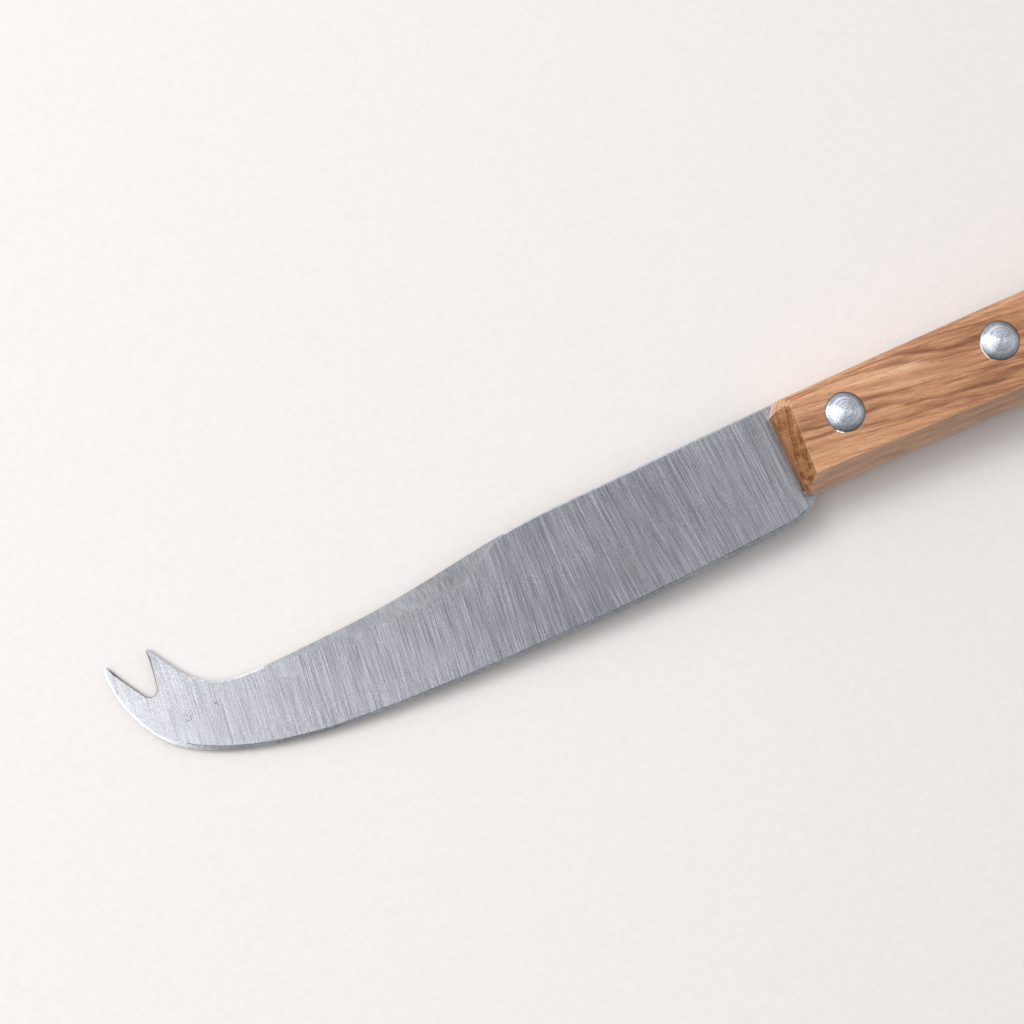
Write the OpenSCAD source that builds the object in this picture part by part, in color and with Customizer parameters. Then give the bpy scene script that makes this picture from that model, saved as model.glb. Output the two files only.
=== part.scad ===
// Forked cheese knife lying on its side: a ground steel blade whose flat tang
// runs the whole length of the handle, two wooden scales and three domed
// aluminium rivets that clamp the scales to the tang.
// The work is laid out with X = 0 at the front of the handle, the row of rivets
// on Y = 0 and the middle of the steel on Z = 0. The whole knife is then shifted
// so that the origin is under the middle of it. +X points to the butt, +Y to the
// spine, so the cutting edge faces -Y.

/* [Blade] */
// Length from the front of the handle to the points of the fork
blade_l = 130; // [105:1:150]
// Height from the spine at the handle down to the lowest point of the edge
blade_w = 23; // [19:0.5:27]
// Thickness of the steel strip, which the tang keeps all over
stock_t = 1.6; // [1.2:0.1:2.2]
// Depth ground off each side at the spine, by the handle
spine_cut = 0.03; // [0.02:0.01:0.08]
// Depth ground off each side at the level of the cutting edge, by the handle
edge_cut = 0.45; // [0.3:0.01:0.5]
// Further depth ground off each side by the points of the fork
taper_cut = 0.2; // [0.1:0.01:0.25]
// Angle of each side of the cutting bevel
bevel_a = 17; // [14:1:24]
// Thickness of the cutting edge itself
land_t = 0.1; // [0.06:0.01:0.2]
// Radius of the rounded heel below the handle
heel_r = 8.7; // [7:0.1:12]

/* [Spine grind] */
// Greatest width of the facet ground along the dipped part of the spine
swedge_w = 4.3; // [2:0.1:6]
// Width of the broken corner along the rest of the spine
break_w = 0.3; // [0.15:0.05:0.5]
// Width of the broken corner along the hook
hook_break_w = 0.8; // [0.3:0.05:1.2]
// Thickness that the facet takes off the spine at its widest
swedge_cut = 0.5; // [0.2:0.05:0.8]

/* [Fork] */
// Depth ground off each side towards the points, past the line where the hook turns up
hook_cut = 0.12; // [0.05:0.01:0.2]
// Radius of the round bottom of the notch between the points
notch_r = 1.45; // [1:0.05:2]
// Lean of the notch wall on the lower point, from the length of the knife
lower_wall_a = 120.5; // [112:0.5:124]
// Lean of the notch wall on the upper point
upper_wall_a = 80; // [74:0.5:88]

/* [Handle] */
// Length of the handle
handle_l = 105; // [90:1:125]
// Thickness of one wooden scale
scale_t = 5.2; // [4:0.1:7]
// Height of the spine side above the row of rivets, at the front
spine_up = 7.3; // [6:0.1:9]
// How far the heel of the blade stands below the belly side, at the front
heel_drop = 3.7; // [2:0.1:6]
// How far the spine side comes down by the butt
spine_drop = 1.6; // [0:0.1:3]
// How far the belly swells out by the butt
belly_swell = 3.2; // [0:0.1:5]
// Length of the rounded butt
butt_l = 15; // [10:0.5:22]

/* [Handle edges] */
// Width of the bevel across the front of each scale, at its belly end
front_bevel_w = 2.4; // [1:0.1:4]
// Width of the same bevel at its spine end
front_bevel_top_w = 3.5; // [1:0.1:4.5]
// Height of that bevel
front_bevel_h = 2.3; // [1:0.1:2.6]
// Width of the sloping belly bevel at the front, seen from the side
belly_bevel_w = 3.1; // [1.5:0.1:4.5]
// Width of the same bevel at the butt
belly_bevel_end_w = 2; // [1:0.1:4]
// Height of the belly bevel
belly_bevel_h = 3.2; // [2.8:0.1:3.6]
// Radius of the rounded spine side
spine_round_r = 1.9; // [0.8:0.1:3]
// Radius of the rounding at the butt
butt_round_r = 3.2; // [1.5:0.1:3.6]
// Length of the corner cut where the front meets the spine side
corner_cut_l = 1.5; // [0.5:0.1:2.5]
// Height of that corner cut
corner_cut_h = 2.1; // [0.5:0.1:3]
// Radius of the corner where the front meets the belly
corner_r = 1.3; // [0.5:0.1:2]

/* [Rivets] */
// Diameter of the rivet shank
shank_d = 4; // [3:0.1:5]
// Diameter of the domed head
head_d = 7.5; // [6:0.1:9]
// Height of the dome above the wood
dome_h = 1.2; // [0.8:0.1:2]
// Depth of the round seat that the head sits in
seat_depth = 0.3; // [0.1:0.05:0.6]
// Distance from the front of the handle to the first rivet
rivet_first = 12.2; // [9:0.1:16]
// Distance from one rivet to the next
rivet_pitch = 32.5; // [26:0.5:36]
// Gap all round between a rivet and what it passes through
rivet_gap = 0.05; // [0.02:0.01:0.1]

/* [Hidden] */

// Facets of round surfaces, and the overrun of every cut
round_fn = 96;
overrun = 1;

// Steps along each stretch of the blade, round the handle and up its eased edges
main_steps = 42;
heel_steps = 10;
fork_steps = 24;
side_steps = 22;
butt_steps = 26;
corner_steps = 5;
eased_steps = 7;

// Heights and halves that several pieces share
half_stock = stock_t / 2;
handle_half = half_stock + scale_t;
shank_r = shank_d / 2;
head_r = head_d / 2;
seat_z = handle_half - seat_depth;
dome_top = handle_half + dome_h;

// Cubic curves of the spine, from the handle to the upper point of the fork.
// Each pair is a share of blade_l forwards and a share of blade_w downwards,
// and every third pair is a joint between two curves.
spine_curve_shares = [
    [0, -0.01], [0.11, -0.014], [0.22, 0.009], [0.335, 0.01],
    [0.452, 0.011], [0.55, 0.16], [0.677, 0.179],
    [0.724, 0.186], [0.762, 0.196], [0.807, 0.194],
    [0.885, 0.19], [0.9, 0.045], [0.9347, -0.3145]
];

// Cubic curves of the cutting edge, from the heel to the lower point of the fork
edge_curve_shares = [
    [0.04, 0.962], [0.115, 0.97], [0.215, 1], [0.3325, 0.99],
    [0.474, 0.978], [0.65, 0.947], [0.7457, 0.874],
    [0.83, 0.81], [0.91, 0.685], [0.953, 0.467],
    [0.988, 0.289], [1.011, -0.128], [1, -0.3247]
];

// Middle of the round bottom of the notch, in the same shares
notch_mid_share = [0.9558, -0.0174];

// Share of blade_w below the spine at which the hook is ground away again
hook_line_share = 0.1;

// Shares of the hook at which the cutting bevel starts to close up, and that it
// takes to do so
bevel_close_share = 0.22;
bevel_fade_share = 0.42;

// The rings of the straight blade lean forwards in the middle by this share, to
// stand square to the edge
lead_share = 0.3;
function edge_lead(t) = 2 * t + lead_share * sin(180 * t) * t;

// Shares of blade_l at which the spine facet begins, is widest and has run out
swedge_start_share = 0.8;
swedge_wide_share = 0.505;
swedge_end_share = 0.435;

// Point of a chain of cubic curves, t running from 0 to the number of curves
function cubic(a, b, c, d, t) =
    pow(1 - t, 3) * a + 3 * pow(1 - t, 2) * t * b + 3 * (1 - t) * pow(t, 2) * c + pow(t, 3) * d;
function on_chain(p, t) =
    let (n = (len(p) - 1) / 3, i = min(floor(t), n - 1))
    cubic(p[3 * i], p[3 * i + 1], p[3 * i + 2], p[3 * i + 3], t - i);

// Turns a pair of shares into a place on the blade
function blade_place(share) = [-share[0] * blade_l, spine_up - share[1] * blade_w];
function on_spine(t) = blade_place(on_chain(spine_curve_shares, t));
function on_edge(t) = blade_place(on_chain(edge_curve_shares, t));

// Place on the spine at a given X, found by halving
function spine_at_x(x, lo = 0, hi = 3, n = 24) =
    let (mid = (lo + hi) / 2)
    n == 0 ? on_spine(mid) :
    on_spine(mid)[0] > x ? spine_at_x(x, mid, hi, n - 1) : spine_at_x(x, lo, mid, n - 1);

// Heel: an arc that starts where the edge ends and climbs to the belly of the handle
edge_end = on_edge(0);
belly_down = -edge_end[1] - heel_drop;
heel_turn = acos(1 - heel_drop / heel_r);
function on_heel(a) = edge_end + heel_r * [sin(a), 1 - cos(a)];
heel_x = on_heel(heel_turn)[0];

// The ground sides are true planes, so the half thickness falls evenly from the
// spine to the edge and from the handle to the fork
side_fall = (edge_cut - spine_cut) / blade_w;
side_taper = taper_cut / blade_l;
function side_half(p) = half_stock - spine_cut - side_fall * (spine_up - p[1]) + side_taper * p[0];

// Past the hook line the sides fall the other way, towards the points
hook_y = spine_up - hook_line_share * blade_w;
hook_x = on_spine(3)[0];
hook_fall = hook_cut / (on_spine(4)[1] - hook_y);
function ground_half(p) =
    side_half([p[0], min(p[1], hook_y)]) - hook_fall * max(0, p[1] - hook_y);

// Soft step from 0 to 1
function ease(t) = let (c = min(1, max(0, t))) c * c * (3 - 2 * c);

// Width of the facet along the spine, by its distance from the handle. From the
// hook it widens evenly to its full width and then runs out quickly.
function swedge_at(x) =
    let (
        share = x / blade_l,
        far = (swedge_start_share - share) / (swedge_start_share - swedge_wide_share),
        near = ease((share - swedge_end_share) / (swedge_wide_share - swedge_end_share)),
        wide = hook_break_w + (swedge_w - hook_break_w) * min(1, max(0, far))
    )
    break_w + (wide - break_w) * near;

// One ring of the blade before its sides are ground: from the spine corner along
// the facet to the flat of the strip, then down the bevel to the edge, and back
// underneath. The grinding takes the flat away and leaves facet and bevel at
// their true widths.
function blade_ring(s, e, land, reach) =
    let (
        d = (e - s) / norm(e - s),
        w = swedge_at(-s[0]),
        cut = break_w / 2 + (swedge_cut - break_w) / 2 * ease((w - break_w) / (swedge_w - break_w)),
        corner = ground_half(s) - cut,
        climb = (ground_half(s + d * w) - corner) / w,
        b = s + d * (half_stock - corner) / climb,
        c = e - d * reach,
        top = [
            [s[0], s[1], corner],
            [b[0], b[1], half_stock],
            [c[0], c[1], half_stock],
            [e[0], e[1], land]
        ]
    )
    concat(top, [for (i = [3:-1:0]) [top[i][0], top[i][1], -top[i][2]]]);

// A ring by how sharp its edge is: 1 where the bevel is whole, 0 where the steel
// ends square but for a broken corner
full_reach = (half_stock - land_t / 2) / tan(bevel_a);
function edge_ring(s, e, sharp) =
    let (square = ground_half(e) - break_w / 2)
    blade_ring(
        s, e,
        square + (land_t / 2 - square) * sharp,
        break_w + (full_reach - break_w) * sharp);

// Rings from just inside the handle to the points of the fork. The bevel closes
// up along the heel, and again before the lower point.
heel_rings = [
    for (i = [0:heel_steps - 1])
    let (t = i / heel_steps)
    edge_ring(
        [heel_x + (edge_end[0] - heel_x) * t, on_spine(0)[1]],
        on_heel(heel_turn * (1 - t)),
        ease(t))
];
main_rings = [
    for (i = [0:main_steps - 1])
    let (t = i / main_steps, x = edge_end[0] + (hook_x - edge_end[0]) * t)
    edge_ring(spine_at_x(x), on_edge(edge_lead(t)), 1)
];
fork_rings = [
    for (i = [0:fork_steps])
    let (t = i / fork_steps)
    edge_ring(
        on_spine(3 + t),
        on_edge(2 + 2 * t),
        1 - ease((t - bevel_close_share) / bevel_fade_share))
];

// Closed solid through a list of rings that all have as many points
module skin(rings) {
    n = len(rings[0]);
    m = len(rings);
    points = [for (r = rings) for (p = r) p];
    sides = [
        for (i = [0:m - 2])
        for (j = [0:n - 1])
        let (a = i * n + j, b = i * n + (j + 1) % n)
        for (tri = [[a, b, b + n], [a, b + n, a + n]]) tri
    ];
    first = [for (j = [n - 1:-1:0]) j];
    last = [for (j = [0:n - 1]) (m - 1) * n + j];
    polyhedron(points, concat([first], sides, [last]));
}

// Shares by which the two front corners close up towards the outer face, and the
// power that makes the butt a little squarer than a true ellipse
corner_close_share = 0.8;
cut_close_share = 0.6;
butt_power = 0.86;

// Sides of the handle, as heights at a distance x behind its front
function spine_side(x) = spine_up - spine_drop * pow(x / handle_l, 2);
function belly_side(x) = -belly_down - belly_swell * (1 - cos(180 * x / handle_l)) / 2;

// Outline of the handle, drawn in towards its outer face. It goes from the belly
// corner up the front, along the spine, round the butt and back. The front and the
// belly are drawn in by shares of their bevels, the rest by lengths.
function belly_line(x, rise) =
    belly_side(x) + rise * (belly_bevel_w + (belly_bevel_end_w - belly_bevel_w) * x / handle_l);
function handle_outline(front_rise, spine_in, belly_rise, butt_in) =
    let (
        round_x = handle_l - butt_l,
        end_l = butt_l - butt_in,
        corner = corner_r * (1 - corner_close_share * front_rise),
        cut = 1 - cut_close_share * front_rise,
        top_x = front_bevel_top_w * front_rise,
        cut_x = top_x + corner_cut_l * cut,
        belly_x = front_bevel_w * front_rise + corner,
        belly_y = belly_line(belly_x, belly_rise)
    )
    concat(
        [for (i = [corner_steps:-1:0])
            let (a = 90 * i / corner_steps)
            [belly_x - corner * cos(a), belly_y + corner * (1 - sin(a))]],
        [[top_x, spine_side(cut_x) - spine_in - corner_cut_h * cut]],
        [for (i = [0:side_steps - 1])
            let (x = cut_x + (round_x - cut_x) * i / side_steps)
            [x, spine_side(x) - spine_in]],
        [for (i = [0:butt_steps])
            let (
                a = 180 * i / butt_steps,
                x = round_x + end_l * pow(abs(sin(a)), butt_power),
                top = spine_side(x) - spine_in,
                low = belly_line(x, belly_rise),
                reach = sign(cos(a)) * pow(abs(cos(a)), butt_power)
            )
            [x, (top + low) / 2 + (top - low) / 2 * reach]],
        [for (i = [side_steps - 1:-1:1])
            let (x = belly_x + (round_x - belly_x) * i / side_steps)
            [x, belly_line(x, belly_rise)]]
    );

function backwards(list) = [for (i = [len(list) - 1:-1:0]) list[i]];

// How far up a bevel a height z is, as a share, and how far a round edge draws in
function bevel_rise(z, h) = max(0, (z - handle_half + h) / h);
function round_in(z, r) =
    let (u = max(0, z - handle_half + r))
    r - sqrt(max(0, r * r - u * u));

// Levels of a scale, from the flat side that lies on the tang to the outer face.
// They close up towards the outer face, where the rounded edges turn fastest.
level_power = 1.7;
scale_levels = concat(
    [half_stock, handle_half - belly_bevel_h],
    [for (i = [0:eased_steps]) handle_half - front_bevel_h * pow(1 - i / eased_steps, level_power)]
);

function scale_ring(z) = [
    for (p = handle_outline(
        bevel_rise(z, front_bevel_h),
        round_in(z, spine_round_r),
        bevel_rise(z, belly_bevel_h),
        round_in(z, butt_round_r)))
    [p[0], p[1], z]
];

// A scale before it is drilled
module scale_body() {
    skin(backwards([for (z = scale_levels) backwards(scale_ring(z))]));
}

// Places of the rivets along the handle
rivet_places = [for (i = [0:2]) rivet_first + rivet_pitch * i];

module rivet_bores(r, from_z, to_z) {
    for (x = rivet_places)
        translate([x, 0, from_z]) cylinder(r = r, h = to_z - from_z, $fn = round_fn);
}

// The blade and its flat tang are one piece of steel
module blade() {
    color([0.66, 0.67, 0.7])
    difference() {
        union() {
            skin(concat(heel_rings, main_rings, fork_rings));
            tang();
        }
        for (side = [0, 1]) mirror([0, 0, side]) grinding();
        notch();
        rivet_bores(shank_r + rivet_gap, -stock_t, stock_t);
    }
}

// What the grinding takes off the upper side: all the steel in front of the wood
// and the heel below it, and the hook once more. The cuts lean by the falls
// worked out above.
module grinding() {
    reach = blade_l + overrun;
    heel_y = belly_side(heel_x);
    intersection() {
        ground_off([0, spine_up, half_stock - spine_cut], side_fall, reach);
        linear_extrude(height = stock_t)
            polygon([
                [-reach, -reach],
                [heel_x, -reach],
                [heel_x, heel_y],
                [0, heel_y],
                [0, reach],
                [-reach, reach]
            ]);
    }
    intersection() {
        ground_off([0, hook_y, side_half([0, hook_y])], -hook_fall, reach);
        translate([hook_x - reach, -reach / 2, 0]) cube(reach);
    }
}

// All that lies above a leaning plane through a point
module ground_off(point, fall, reach) {
    lean = atan(side_taper);
    translate(point)
        rotate([atan(fall * cos(lean)), -lean, 0])
        linear_extrude(height = reach) square(2 * reach, center = true);
}

module tang() {
    translate([0, 0, -half_stock])
        linear_extrude(height = stock_t) polygon(handle_outline(0, 0, 0, 0));
}

// V notch between the points, with walls that run straight off its round bottom
module notch() {
    mid = blade_place(notch_mid_share);
    wall_l = blade_w / 2;
    lower = mid + notch_r * [cos(lower_wall_a + 90), sin(lower_wall_a + 90)];
    upper = mid + notch_r * [cos(upper_wall_a - 90), sin(upper_wall_a - 90)];
    translate([0, 0, -stock_t])
        linear_extrude(height = 2 * stock_t) {
            translate(mid) circle(r = notch_r, $fn = round_fn);
            polygon([
                mid,
                lower,
                lower + wall_l * [cos(lower_wall_a), sin(lower_wall_a)],
                upper + wall_l * [cos(upper_wall_a), sin(upper_wall_a)],
                upper
            ]);
        }
}

module scale_left() {
    color([0.78, 0.58, 0.44])
    difference() {
        scale_body();
        rivet_bores(shank_r + rivet_gap, 0, handle_half + overrun);
        rivet_bores(head_r + rivet_gap, seat_z, handle_half + overrun);
    }
}

module scale_right() {
    mirror([0, 0, 1]) scale_left();
}

// A solid rivet: a shank with a domed head on each side
dome_r = (head_r * head_r + dome_h * dome_h) / (2 * dome_h);

module rivet_head() {
    translate([0, 0, seat_z]) cylinder(r = head_r, h = seat_depth, $fn = round_fn);
    intersection() {
        translate([0, 0, dome_top - dome_r]) sphere(r = dome_r, $fn = round_fn);
        translate([0, 0, handle_half]) cylinder(r = head_r, h = dome_h, $fn = round_fn);
    }
}

module rivet(x) {
    color([0.8, 0.81, 0.83])
    translate([x, 0, 0]) {
        translate([0, 0, -seat_z]) cylinder(r = shank_r, h = 2 * seat_z, $fn = round_fn);
        rivet_head();
        mirror([0, 0, 1]) rivet_head();
    }
}

// Shift that puts the origin under the middle of the whole knife
all_rings = concat(heel_rings, main_rings, fork_rings);
all_points = concat([for (r = all_rings) for (p = r) p], handle_outline(0, 0, 0, 0));
low_x = min([for (p = all_points) p[0]]);
low_y = min([for (p = all_points) p[1]]);
high_y = max([for (p = all_points) p[1]]);
centre_shift = [-(low_x + handle_l) / 2, -(low_y + high_y) / 2, dome_top];

translate(centre_shift) blade();
translate(centre_shift) scale_left();
translate(centre_shift) scale_right();
translate(centre_shift) rivet(rivet_places[0]);  // rivet_front
translate(centre_shift) rivet(rivet_places[1]);  // rivet_middle
translate(centre_shift) rivet(rivet_places[2]);  // rivet_rear
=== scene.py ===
# %% [markdown]
# # A forked cheese knife, dressed for its portrait
# The knife is a ground steel blade whose flat tang runs the whole length of the
# handle, with a wooden scale on each side and three domed rivets through all of
# it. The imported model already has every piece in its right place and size. Here
# each piece is made again with the small shapes that catch the light, and gets
# the finish that its maker gave it.

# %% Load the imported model
import math

import bmesh
import bpy
import numpy as np
from mathutils import Matrix, Vector


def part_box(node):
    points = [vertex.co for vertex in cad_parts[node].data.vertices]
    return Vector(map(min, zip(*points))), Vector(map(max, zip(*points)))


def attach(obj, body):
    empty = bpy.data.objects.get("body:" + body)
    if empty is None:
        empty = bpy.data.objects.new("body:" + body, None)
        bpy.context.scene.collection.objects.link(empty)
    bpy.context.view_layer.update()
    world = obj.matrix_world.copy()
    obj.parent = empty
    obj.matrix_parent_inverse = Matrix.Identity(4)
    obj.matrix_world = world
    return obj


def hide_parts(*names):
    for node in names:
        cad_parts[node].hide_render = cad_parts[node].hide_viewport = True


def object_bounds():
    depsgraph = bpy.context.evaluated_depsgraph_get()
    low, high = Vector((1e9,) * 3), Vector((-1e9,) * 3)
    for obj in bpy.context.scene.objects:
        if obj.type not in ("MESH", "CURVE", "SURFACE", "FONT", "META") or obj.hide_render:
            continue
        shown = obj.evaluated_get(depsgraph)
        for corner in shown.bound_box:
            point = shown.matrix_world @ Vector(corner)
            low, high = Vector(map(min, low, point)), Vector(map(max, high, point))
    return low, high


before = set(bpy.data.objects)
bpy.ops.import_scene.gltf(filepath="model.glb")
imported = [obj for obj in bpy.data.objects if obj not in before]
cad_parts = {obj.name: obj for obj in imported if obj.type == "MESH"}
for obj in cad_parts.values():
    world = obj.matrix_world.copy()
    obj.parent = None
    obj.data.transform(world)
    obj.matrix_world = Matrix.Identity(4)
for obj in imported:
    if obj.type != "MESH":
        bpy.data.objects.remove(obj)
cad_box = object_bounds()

print("nodes:", sorted(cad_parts))

# %% [markdown]
# ## Measures
# A maker lays a knife out from one corner. Here that corner is the front of the
# handle, on the row of rivets and in the middle of the steel, with +X to the butt
# and +Y to the spine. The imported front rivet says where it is. All lengths are in
# millimetres and only the last step turns them into metres. Names that end in _A
# are angles in degrees.

# %% Measures that every piece shares
MM = 0.001
STOCK_T = 1.6
SCALE_T = 5.2
HALF_STOCK = STOCK_T / 2
HANDLE_HALF = HALF_STOCK + SCALE_T
SHANK_R = 2.0
HEAD_R = 3.75
DOME_H = 1.2
SEAT_Z = HANDLE_HALF - 0.3
RIVET_GAP = 0.05
RIVET_FIRST = 12.2
RIVET_PITCH = 32.5
RIVET_X = RIVET_FIRST + RIVET_PITCH * np.arange(3)

rivet_low, rivet_high = (np.array(corner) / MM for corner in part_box("rivet_front"))
FRONT = (rivet_low + rivet_high) / 2 - (RIVET_FIRST, 0, 0)
print("front of the handle at", np.round(FRONT, 3), "mm")

# %% [markdown]
# ## Helpers
# Colours are picked as sRGB hex values, which is how a screen names them, but a
# shader counts light, so one function turns them linear. Another adds one shader
# node with its settings and links, and the same links feed the shader itself.
# A mesh could be built point by point, but whole arrays are quicker and easier to
# check. So the rest put a finished array of points into a mesh with every face
# turned outwards, read a mesh back as arrays, and round its worn edges.

# %% Helpers for colours and finishes
def linear(hex_colour):
    """sRGB hex to linear light: c / 12.92 below 0.04045, else ((c + 0.055) / 1.055) ^ 2.4."""
    c = np.array([int(hex_colour[i:i + 2], 16) for i in (0, 2, 4)]) / 255
    return tuple(np.where(c < 0.04045, c / 12.92, ((c + 0.055) / 1.055) ** 2.4)) + (1.0,)


def feed(tree, node, inputs):
    """Gives a node's inputs their values, or links them to the outputs that feed them.

    An input goes by its name or its number: 1 to 4 of MapRange are the range that
    comes in and the one that goes out, and 6 and 7 of Mix are its two colours.
    """
    for socket, value in inputs.items():
        if isinstance(value, bpy.types.NodeSocket):
            tree.links.new(value, node.inputs[socket])
        else:
            node.inputs[socket].default_value = value


def add(tree, kind, inputs=(), stops=(), **settings):
    """One shader node: settings are its properties, inputs its values or what feeds them.

    stops are the (place, hex colour) pairs of a colour ramp.
    """
    made = tree.nodes.new("ShaderNode" + kind)
    for name, value in settings.items():
        setattr(made, name, value)
    feed(tree, made, dict(inputs))
    for _ in stops[2:]:
        made.color_ramp.elements.new(0.5)
    for number, (place, colour) in enumerate(stops):
        made.color_ramp.elements[number].position = place
        made.color_ramp.elements[number].color = linear(colour)
    return made


def new_material(name):
    """Empty node material, its tree and its shader."""
    made = bpy.data.materials.new(name)
    made.use_nodes = True
    tree = made.node_tree
    print("finish", name)
    return made, tree, tree.nodes["Principled BSDF"]


def lay_on(tree, shader, colour, pattern, roughs, relief, strength, depth):
    """Feeds a shader its colour, its roughness and its relief, whose depth is in millimetres.

    The roughness goes between two values while the pattern goes from 0.3 to 0.7.
    """
    rough = add(tree, "MapRange", {
        "Value": pattern, 1: 0.3, 2: 0.7, 3: roughs[0], 4: roughs[1]}).outputs["Result"]
    bump = add(tree, "Bump", {"Height": relief, "Strength": strength, "Distance": depth * MM})
    feed(tree, shader, {
        "Base Color": colour, "Roughness": rough, "Normal": bump.outputs["Normal"]})


# %% Helpers for pieces
def add_mesh(name, points, faces, finish=None):
    """Mesh object from points in millimetres from the front of the handle, faces turned outwards.

    finish gives for each face the number of its finish, where a piece has more than one.
    """
    mesh = bpy.data.meshes.new(name)
    mesh.from_pydata(((points + FRONT) * MM).tolist(), [], faces, shade_flat=False)
    if finish is not None:
        mesh.polygons.foreach_set("material_index", np.array(finish, np.int32))
    shape = bmesh.new()
    shape.from_mesh(mesh)
    bmesh.ops.remove_doubles(shape, verts=shape.verts, dist=0.0001 * MM)
    bmesh.ops.recalc_face_normals(shape, faces=shape.faces)
    shape.to_mesh(mesh)
    shape.free()
    made = bpy.data.objects.new(name, mesh)
    bpy.context.scene.collection.objects.link(made)
    return made


def dress(piece, finishes, slot, *nodes):
    """Puts its finishes on a piece, lets it ride on the knife and hides the nodes it stands for."""
    for finish in finishes:
        piece.data.materials.append(finish)
    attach(piece, "root")
    if nodes:
        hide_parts(*nodes)
    print(piece.name, len(piece.data.vertices), "points")


def mesh_values(items, name, kind, width=1):
    """One property of all the points, edges, faces or corners of a mesh, as an array."""
    values = np.empty(len(items) * width, kind)
    items.foreach_get(name, values)
    return values.reshape(-1, width) if width > 1 else values


def soften(piece, width, segments, angle, clear=0.5, near=0.05):
    """Rounds the edges of the outer face that turn by more than an angle.

    They are clear of the rivets' heads and near the face by these lengths. The
    rounded arrises get the piece's second finish.
    """
    mesh = piece.data
    mesh.set_sharp_from_angle(angle=math.radians(angle))
    places = mesh_values(mesh.vertices, "co", np.float32, 3) / MM - FRONT
    to_rivet = np.min([np.hypot(places[:, 0] - x, places[:, 1]) for x in RIVET_X], axis=0)
    worn = (to_rivet > HEAD_R + clear) & (np.abs(places[:, 2]) > HANDLE_HALF - near)
    worn = worn[mesh_values(mesh.edges, "vertices", np.int32, 2)].all(axis=1)
    worn &= mesh_values(mesh.attributes["sharp_edge"].data, "value", bool)
    weight = mesh.attributes.new("bevel_weight_edge", "FLOAT", "EDGE")
    weight.data.foreach_set("value", worn.astype(np.float32))
    bevel = piece.modifiers.new("worn_arris", "BEVEL")
    bevel.width = width * MM
    bevel.segments = segments
    bevel.limit_method = "WEIGHT"
    bevel.harden_normals = True
    bevel.material = 1


# %% [markdown]
# ## Camera
# The photograph was taken from almost straight above, with the blade to the lower
# left. A camera could be aimed by eye, but then the edges wouldn't lie where they
# do there. So the place and the three directions below were worked out from the
# rivets, the tips and the arrises. They are the columns of the camera's matrix.

# %% Camera at the photograph's angle
CAMERA_PLACE = (-81.668, -32.71, 395.709)
CAMERA_RIGHT = (0.90332, -0.42551, 0.05424)
CAMERA_UP = (0.41451, 0.89843, 0.14493)
CAMERA_FORWARD = (0.1104, 0.10844, -0.98795)

camera_data = bpy.data.cameras.new("camera")
camera_data.lens = 75
camera_data.sensor_width = 36
camera_data.clip_start = 0.01
camera_data.clip_end = 20
camera = bpy.data.objects.new("camera", camera_data)
turn = np.array([CAMERA_RIGHT, CAMERA_UP, -np.array(CAMERA_FORWARD)]).T
camera.matrix_world = (
    Matrix.Translation(np.array(CAMERA_PLACE) * MM) @ Matrix(turn.tolist()).to_4x4())
bpy.context.scene.collection.objects.link(camera)
bpy.context.scene.camera = camera
bpy.context.scene.view_settings.view_transform = "Standard"
print("camera looks from", CAMERA_PLACE, "mm")

# %% [markdown]
# ## Floor and light
# The shadows in the photograph are soft and thin by the tip and wider by the
# handle. So the knife rests on its front rivet and its tip, and the floor runs up
# a little towards the tip. One lamp could light it all, but its shadows would be too
# dark. So the light is one broad soft source at the upper left, three weaker cards
# and a pale room all round.

# %% Floor
FLOOR_REST_X = 24.9
FLOOR_SLOPE = 0.0465
FLOOR_REACH = 4000

floor_x, floor_y = FLOOR_REACH * np.array([[-1, 1, -1, 1], [-1, -1, 1, 1]])
floor_points = np.stack([floor_x, floor_y, FLOOR_SLOPE * (FLOOR_REST_X - floor_x)], axis=1)
floor = add_mesh("floor", floor_points - FRONT, [(0, 1, 3, 2)])

paper, tree, shader = new_material("matt_pale_paper")
place = add(tree, "TexCoord").outputs["Object"]
# Tooth of the paper, 1 mm across
tooth = add(tree, "TexNoise", {"Vector": place, "Scale": 900, "Detail": 2}).outputs["Fac"]
colour = add(tree, "ValToRGB", {"Fac": tooth}, stops=[(0.3, "E4DFDB"), (0.7, "E8E3DF")])
feed(tree, shader, {
    "Base Color": colour.outputs["Color"], "Roughness": 0.9, "Specular IOR Level": 0.2})
floor.data.materials.append(paper)

# %% Light
def soft_light(name, place, target, size, watts, colour):
    """Square soft source at a place, turned to a target, both in millimetres."""
    data = bpy.data.lights.new(name, "AREA")
    data.size = size * MM
    data.energy = watts
    data.color = linear(colour)[:3]
    made = bpy.data.objects.new(name, data)
    away = Matrix.Translation(np.array(place) * MM)
    aim = (np.array(target, float) - np.array(place)) * MM
    made.matrix_world = away @ Vector(aim).to_track_quat("-Z", "Y").to_matrix().to_4x4()
    bpy.context.scene.collection.objects.link(made)
    print("light", name, watts, "W")


soft_light("window", (-690, 700, 1090), (0, 0, 0), 680, 10.9, "FFFDFA")
soft_light("upper_card", (-530, 60, 900), (-530, 60, 0), 640, 3.25, "FFFFFF")
soft_light("side_card", (0, 1200, 1040), (0, 0, 0), 2000, 7.0, "F4F7FF")
soft_light("right_card", (1150, -420, 560), (0, 0, 0), 900, 1.1, "F4F7FF")

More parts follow.
